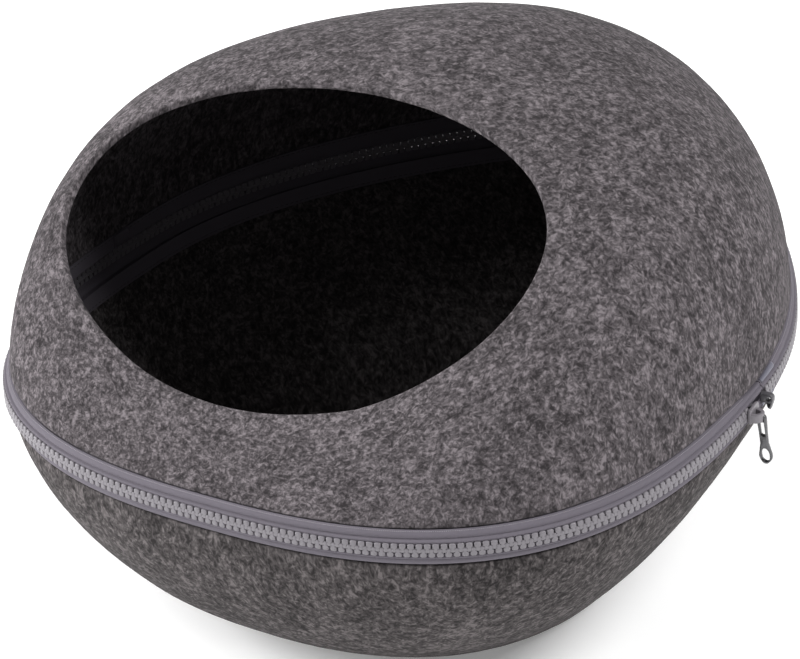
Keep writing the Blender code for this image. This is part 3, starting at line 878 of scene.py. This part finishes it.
def metalMaterial(name, colour, roughness):
    finish, tree, shader = newMaterial(name)
    link = tree.links.new
    place = addNode(tree, "ShaderNodeTexCoord")
    wear = addNode(tree, "ShaderNodeTexNoise", {"Scale": 1400.0, "Detail": 4.0, "Roughness": 0.6})
    link(place.outputs["Object"], wear.inputs["Vector"])
    spread = addNode(tree, "ShaderNodeMapRange", {"To Min": roughness - 0.08, "To Max": roughness + 0.12})
    link(wear.outputs["Fac"], spread.inputs["Value"])
    link(spread.outputs["Result"], shader.inputs["Roughness"])
    addShades(tree, shader, wear.outputs["Fac"], colour, 0.75, 1.3)
    shader.inputs["Metallic"].default_value = 0.85
    return finish


fibres = fibreGroup()
feltLook = {
    "colour": (0.0694, 0.0616, 0.0655),
    "contrast": 0.226,
    "bump": 0.5,
    "bumpDepth": 0.0003,
    "shades": (0.36, 0.52, 0.74, 1.0, 1.34, 1.78, 2.35),
}
domeFelt = feltMaterial("domeFelt", fibres, feltLook)
# the bowl's felt is the dome's wool with a slightly more olive colour, painted darker as shade for the lower
# half under the dome
bowlFeltPaintedShade = feltMaterial("bowlFeltPaintedShade", fibres, {**feltLook, "colour": (0.0552, 0.0496, 0.0501)})
tapeCloth = tapeMaterial("tapeCloth", (0.119, 0.107, 0.128))
teethPlastic = plasticMaterial("teethPlastic", (0.150, 0.139, 0.154), 0.42)
boxPlastic = plasticMaterial("boxPlastic", (0.075, 0.073, 0.08), 0.4)
filmPlastic = plasticMaterial("filmPlastic", (0.12, 0.118, 0.15), 0.45)
gunmetal = metalMaterial("gunmetal", (0.10, 0.10, 0.104), 0.27)
greyPaint = plasticMaterial("greyPaint", (0.175, 0.162, 0.178), 0.38)
stitchThread = plasticMaterial("stitchThread", (0.24, 0.225, 0.25), 0.7)
darkThread = plasticMaterial("darkThread", (0.06, 0.056, 0.062), 0.8)
print("materials made")

feltDome = makeDome(domeFelt)
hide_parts("upper_shell")
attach(feltDome, "root")
print("felt dome:", len(feltDome.data.polygons), "faces")

feltBowl = makeBowl(bowlFeltPaintedShade)
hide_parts("lower_shell")
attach(feltBowl, "root")
print("felt bowl:", len(feltBowl.data.polygons), "faces")

tapeUpper = makeTape("zipTapeUpper", 1, tapeCloth)
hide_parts("tape_upper")
tapeLower = makeTape("zipTapeLower", -1, tapeCloth)
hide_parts("tape_lower")
for piece in (tapeUpper, tapeLower):
    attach(piece, "root")
print("zip tapes made")

teethUpper = makeTeeth("zipTeethUpper", 1, 0.0, teethPlastic)
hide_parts("teeth_upper")
teethLower = makeTeeth("zipTeethLower", -1, 0.5, teethPlastic)
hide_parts("teeth_lower")
for piece in (teethUpper, teethLower):
    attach(piece, "root")
print("zip teeth:", len(teethUpper.data.polygons), "faces a row")

# slider, bail, pull and retainer box, each drawn flat with rounded edges and then set on the zip
slider = {
    "angle": -6.2,
    "length": 0.0112,
    "low": 0.0060,
    "high": 0.0036,
    "plate": 0.0016,
    "edge": 0.0004,
    "out": 0.0003,       # from the teeth to the outer plate
    "post": {"half": 0.0011, "start": 0.0016, "end": 0.0048, "depth": 0.0052, "out": 0.0012, "edge": 0.0002},
    "inside": {"half": 0.0034, "depth": 0.0045, "thickness": 0.0012, "edge": 0.0003},
}
bail = {
    "span": 0.0092,
    "reach": 0.0073,
    "bar": 0.0022,
    "foot": 0.0012,
    "width": 0.0048,
    "edge": 0.0005,
    "offset": -0.0009,
    "drop": 0.0018,
}
pull = {
    "length": 0.0280,
    "thickness": 0.0024,
    "edge": 0.0007,
    "top": 0.0026,
    "neck": 0.0021,
    "ring": 0.0035,
    "ringHalf": 0.0045,
    "slotTop": 0.0026,
    "slotLength": 0.0080,
    "slotHalf": 0.00115,
    "holeHalf": 0.0023,
    "holeLength": 0.0078,
    "eye": {"up": 0.0001, "halfWide": 0.0011, "halfHigh": 0.0013},
    "lean": 5.3,
    "hang": 0.0026,
    "inset": 0.0003,     # it hangs this far inside the middle of the bail's bar
}
retainer = {
    "angle": -1.3,
    "half": 0.0018,
    "high": 0.0018,
    "low": 0.0066,
    "reach": 0.0054,
    "edge": 0.0006,
    "back": 0.0012,
    "heel": 0.0030,
    "brow": 0.0006,
    "nose": 0.0022,
    "throat": 0.0034,
    "eye": {"out": 0.0030, "up": -0.0010, "halfOut": 0.0012, "halfUp": 0.0013},
    "slit": {"out": 0.0032, "up": -0.0039, "halfOut": 0.0005, "halfUp": 0.0011},
}


def seatAt(degrees, out=0.0, along=0.0, up=0.0):
    # axes on the zip: X out from the teeth's face, Y along the teeth away from the front, Z up
    angle = math.radians(degrees)
    here, ahead, behind = (Vector(bandPoint(np.array([turn]), 0, 0)[0])
                           for turn in (angle, angle + 0.004, angle - 0.004))
    way = (ahead - behind).normalized()
    outward = way.cross(Vector((0, 0, 1)))
    turn = Matrix((outward, way, Vector((0, 0, 1)))).transposed()
    return Matrix.Translation(here) @ turn.to_4x4() @ Matrix.Translation((out, along, up))


# a flat drawing's X, Y and thickness set along two of the seat's axes
standing = Matrix(((0, 0, 1, 0), (1, 0, 0, 0), (0, 1, 0, 0), (0, 0, 0, 1)))
lying = Matrix(((0, 1, 0, 0), (1, 0, 0, 0), (0, 0, -1, 0), (0, 0, 0, 1)))
across = Matrix(((1, 0, 0, 0), (0, 0, -1, 0), (0, 1, 0, 0), (0, 0, 0, 1)))


def ovalLoop(middle, wide, high, start=0, end=360, steps=28):
    turns = np.radians(np.linspace(start, end, steps + 1))
    if end - start == 360:
        turns = turns[:-1]
    return [(middle[0] + wide * math.cos(turn), middle[1] + high * math.sin(turn)) for turn in turns]


def flatPiece(loops, thickness, edge, turned):
    # a plate cut to its loops, the later ones holes, with rounded edges
    curve = bpy.data.curves.new("plate", "CURVE")
    curve.dimensions = "2D"
    curve.fill_mode = "BOTH"
    curve.extrude = thickness / 2 - edge
    curve.bevel_depth = edge
    curve.bevel_resolution = 2
    curve.offset = -edge
    for loop in loops:
        line = curve.splines.new("POLY")
        line.points.add(len(loop) - 1)
        for point, (x, y) in zip(line.points, loop):
            point.co = (x, y, 0, 1)
        line.use_cyclic_u = True
    holder = bpy.data.objects.new("plate", curve)
    mesh = bpy.data.meshes.new_from_object(holder)
    bpy.data.objects.remove(holder, do_unlink=True)
    bpy.data.curves.remove(curve)
    mesh.transform(turned)
    return mesh


def joined(name, meshes, finish, smoothTo=40):
    work = bmesh.new()
    for mesh in meshes:
        work.from_mesh(mesh)
        bpy.data.meshes.remove(mesh)
    bmesh.ops.remove_doubles(work, verts=work.verts, dist=1e-6)
    bmesh.ops.recalc_face_normals(work, faces=work.faces)
    whole = bpy.data.meshes.new(name)
    work.to_mesh(whole)
    work.free()
    whole.shade_smooth()
    whole.set_sharp_from_angle(angle=math.radians(smoothTo))
    return placed(name, whole, finish)


def makeSlider():
    seat = seatAt(slider["angle"])
    half, low, high = slider["length"] / 2, slider["low"], slider["high"]
    post, inside = slider["post"], slider["inside"]
    # the outer plate is widest near its front end, with a rounded nose
    outline = [(-half, -low * 0.72), (-half * 0.8, -low * 0.86), (half * 0.35, -low),
               (half * 0.72, -low * 0.93), (half * 0.95, -low * 0.6), (half, -low * 0.2),
               (half, high * 0.45), (half * 0.8, high * 0.9), (half * 0.4, high), (-half, high * 0.8)]
    plate = flatPiece([outline], slider["plate"], slider["edge"],
                      seat @ Matrix.Translation((slider["out"] + slider["plate"] / 2, 0, 0)) @ standing)
    stem = [(post["start"], -post["half"]), (post["end"], -post["half"]),
            (post["end"], post["half"]), (post["start"], post["half"])]
    stem = flatPiece([stem], post["depth"], post["edge"],
                     seat @ Matrix.Translation((post["out"] - post["depth"] / 2, 0, 0)) @ standing)
    back = [(-half * 0.8, -inside["half"]), (half * 0.7, -inside["half"]), (half * 0.85, 0.0),
            (half * 0.7, inside["half"]), (-half * 0.8, inside["half"])]
    back = flatPiece([back], inside["thickness"], inside["edge"],
                     seat @ Matrix.Translation((-inside["depth"], 0, 0)) @ standing)
    return joined("sliderPlate", [plate, stem, back], greyPaint)


def makeBail():
    half, bar, foot = bail["span"] / 2, bail["bar"], bail["foot"]
    rise = bail["reach"] - foot
    outer = ovalLoop((0, foot), half, rise, 0, 180, 20)
    inner = ovalLoop((0, foot), half - bar, rise - bar, 180, 0, 20)
    seat = seatAt(slider["angle"], along=bail["offset"], up=-bail["drop"])
    arch = flatPiece([outer + inner], bail["width"], bail["edge"], seat @ lying)
    return joined("sliderBail", [arch], greyPaint)


def makePull():
    top, neck, ring, eye = pull["top"], pull["neck"], pull["ring"], pull["eye"]
    ringY = top + pull["ringHalf"] - pull["length"]
    right = ovalLoop((0, 0), top, top, 90, 0, 10)
    right += [(neck * 1.04, -pull["length"] * 0.28), (neck, -pull["length"] * 0.5)]
    right += ovalLoop((0, ringY), ring, pull["ringHalf"], 25, -90, 14)
    outline = right + [(-x, y) for x, y in reversed(right[1:-1])]
    slotHalf, slotTop = pull["slotHalf"], -pull["slotTop"]
    slotEnd = slotTop - pull["slotLength"] + 2 * slotHalf
    slot = ovalLoop((0, slotTop), slotHalf, slotHalf, 0, 180, 8)
    slot += ovalLoop((0, slotEnd), slotHalf, slotHalf, 180, 360, 8)
    eye = ovalLoop((0, eye["up"]), eye["halfWide"], eye["halfHigh"], 0, 360, 16)
    hole = ovalLoop((0, ringY), pull["holeHalf"], pull["holeLength"] / 2)
    lean = Matrix.Rotation(math.radians(-pull["lean"]), 4, "Y")
    seat = seatAt(slider["angle"], out=bail["reach"] - bail["bar"] / 2 - pull["inset"],
                  along=bail["offset"], up=-pull["hang"])
    mesh = flatPiece([outline, slot, eye, hole], pull["thickness"], pull["edge"], seat @ lean @ across)
    return joined("pullTab", [mesh], gunmetal)


def makeRetainer():
    # a small moulded hook at the start of the teeth, with an eye and a slit through it
    seat = seatAt(retainer["angle"])
    reach, high, low = retainer["reach"], retainer["high"], retainer["low"]
    back, nose = retainer["back"], retainer["nose"]
    outline = [(-back, -retainer["heel"]), (-back, high * 0.8), (retainer["brow"], high),
               (reach * 0.62, high * 0.9)]
    outline += ovalLoop((reach * 0.62, high * 0.9 - nose), reach * 0.38, nose, 80, 0, 6)
    outline += [(reach * 0.96, -nose), (reach * 0.72, -low), (reach * 0.48, -low * 0.93),
                (reach * 0.30, -retainer["throat"])]
    holes = [ovalLoop((hole["out"], hole["up"]), hole["halfOut"], hole["halfUp"], 0, 360, steps)
             for hole, steps in ((retainer["eye"], 18), (retainer["slit"], 14))]
    block = flatPiece([outline, *holes], 2 * retainer["half"], retainer["edge"], seat @ across)
    return joined("zipRetainer", [block], boxPlastic)


for make, node, slotName in ((makeSlider, "slider_body", "gunmetal"), (makeBail, "slider_bail", "gunmetal"),
                             (makePull, "pull_tab", "gunmetal"), (makeRetainer, "zip_box", "box_plastic")):
    piece = make()
    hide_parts(node)
    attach(piece, "root")
print("slider, pull and retainer made")

for name, side, node in (("endFilmUpper", 1, "end_patch_upper"), ("endFilmLower", -1, "end_patch_lower")):
    piece = makeFilm(name, side, filmPlastic)
    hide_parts(node)
    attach(piece, "root")
tapeJoin = makeJoin(tapeCloth)
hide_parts("inner_tape_join")
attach(tapeJoin, "root")
for name, kind, side in (("tapeStitches", "fine", 1), ("lapStitchesUpper", "inside", 1),
                         ("lapStitchesLower", "inside", -1)):
    piece = makeStitches(name, kind, side, stitchThread if kind == "fine" else darkThread)
    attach(piece, "root")
print("film, join and stitches made")

# floor, light and camera
studio = {
    "floor": (0.93, 0.93, 0.93),
    "floorHalf": 40.0,
    "floorDrop": 0.0005,
    "floorGlow": 0.2,
    "glowFrom": 0.6,
    "glowTo": 1.8,
    "ambient": 0.25,
    "aim": (0.0, 0.0, 0.12),
    "distance": 3.0,
    "size": 1.6,
    # each lamp: azimuth from the front, height angle and power
    "lamps": {
        "left": (-65, 20, 92),
        "frontLeft": (-30, 45, 53),
        "right": (106, 47, 92),
    },
}


def addFloor():
    mesh = bpy.data.meshes.new("floor")
    half = studio["floorHalf"]
    corners = [(-half, -half, 0), (half, -half, 0), (half, half, 0), (-half, half, 0)]
    mesh.from_pydata(corners, [], [(0, 1, 2, 3)])
    finish, tree, shader = newMaterial("studioFloor")
    shader.inputs["Base Color"].default_value = (*studio["floor"], 1)
    shader.inputs["Roughness"].default_value = 0.9
    # the floor glows more away from the object, so that it stays white out to the horizon
    place = addNode(tree, "ShaderNodeTexCoord")
    away = addNode(tree, "ShaderNodeVectorMath", operation="LENGTH")
    glow = addNode(tree, "ShaderNodeMapRange", {"From Min": studio["glowFrom"], "From Max": studio["glowTo"],
                                                "To Min": studio["floorGlow"], "To Max": 1.0})
    tree.links.new(place.outputs["Object"], away.inputs[0])
    tree.links.new(away.outputs["Value"], glow.inputs["Value"])
    tree.links.new(glow.outputs["Result"], shader.inputs["Emission Strength"])
    shader.inputs["Emission Color"].default_value = (1, 1, 1, 1)
    floor = placed("studioFloor", mesh, finish)
    floor.location.z = -studio["floorDrop"]


def addLamp(name, azimuth, height, power):
    lamp = bpy.data.lights.new(name, "AREA")
    lamp.shape = "DISK"
    lamp.size = studio["size"]
    lamp.energy = power
    holder = bpy.data.objects.new(name, lamp)
    around, up = math.radians(azimuth), math.radians(height)
    way = Vector((math.sin(around) * math.cos(up), -math.cos(around) * math.cos(up), math.sin(up)))
    holder.location = Vector(studio["aim"]) + way * studio["distance"]
    holder.rotation_euler = (-way).to_track_quat("-Z", "Y").to_euler()
    bpy.context.scene.collection.objects.link(holder)


def addStudio():
    addFloor()
    for name, values in studio["lamps"].items():
        addLamp(name, *values)
    world = bpy.data.worlds.new("studioWorld")
    world.use_nodes = True
    tree = world.node_tree
    soft = tree.nodes["Background"]
    soft.inputs["Color"].default_value = (1, 1, 1, 1)
    soft.inputs["Strength"].default_value = studio["ambient"]
    # a white wall behind the floor, which lights nothing
    wall = addNode(tree, "ShaderNodeBackground", {"Color": (1, 1, 1, 1), "Strength": 1.0})
    seen = addNode(tree, "ShaderNodeLightPath")
    either = addNode(tree, "ShaderNodeMixShader")
    tree.links.new(seen.outputs["Is Camera Ray"], either.inputs[0])
    tree.links.new(soft.outputs[0], either.inputs[1])
    tree.links.new(wall.outputs[0], either.inputs[2])
    tree.links.new(either.outputs[0], tree.nodes["World Output"].inputs["Surface"])
    bpy.context.scene.world = world
    bpy.context.scene.view_settings.view_transform = "Standard"


# the camera's place from the middle of the seam, and its two side directions
viewpoint = {
    "place": (1.340, -2.104, 1.391),
    "right": (0.8523, 0.5205, -0.0506),
    "up": (-0.2179, 0.4415, 0.8704),
    "lens": 247.3,
    "sensor": 36,
}


def addCamera():
    camera = bpy.data.cameras.new("camera")
    camera.sensor_fit = "HORIZONTAL"
    camera.sensor_width = viewpoint["sensor"]
    camera.lens = viewpoint["lens"]
    camera.clip_end = 100
    holder = bpy.data.objects.new("camera", camera)
    right = Vector(viewpoint["right"]).normalized()
    up = Vector(viewpoint["up"])
    up = (up - right * up.dot(right)).normalized()
    turn = Matrix((right, up, right.cross(up))).transposed()
    place = Vector(viewpoint["place"]) + Vector((0, 0, egg["seamHeight"]))
    holder.matrix_world = Matrix.Translation(place) @ turn.to_4x4()
    bpy.context.scene.collection.objects.link(holder)
    bpy.context.scene.camera = holder


addStudio()
addCamera()
print("studio and camera set")
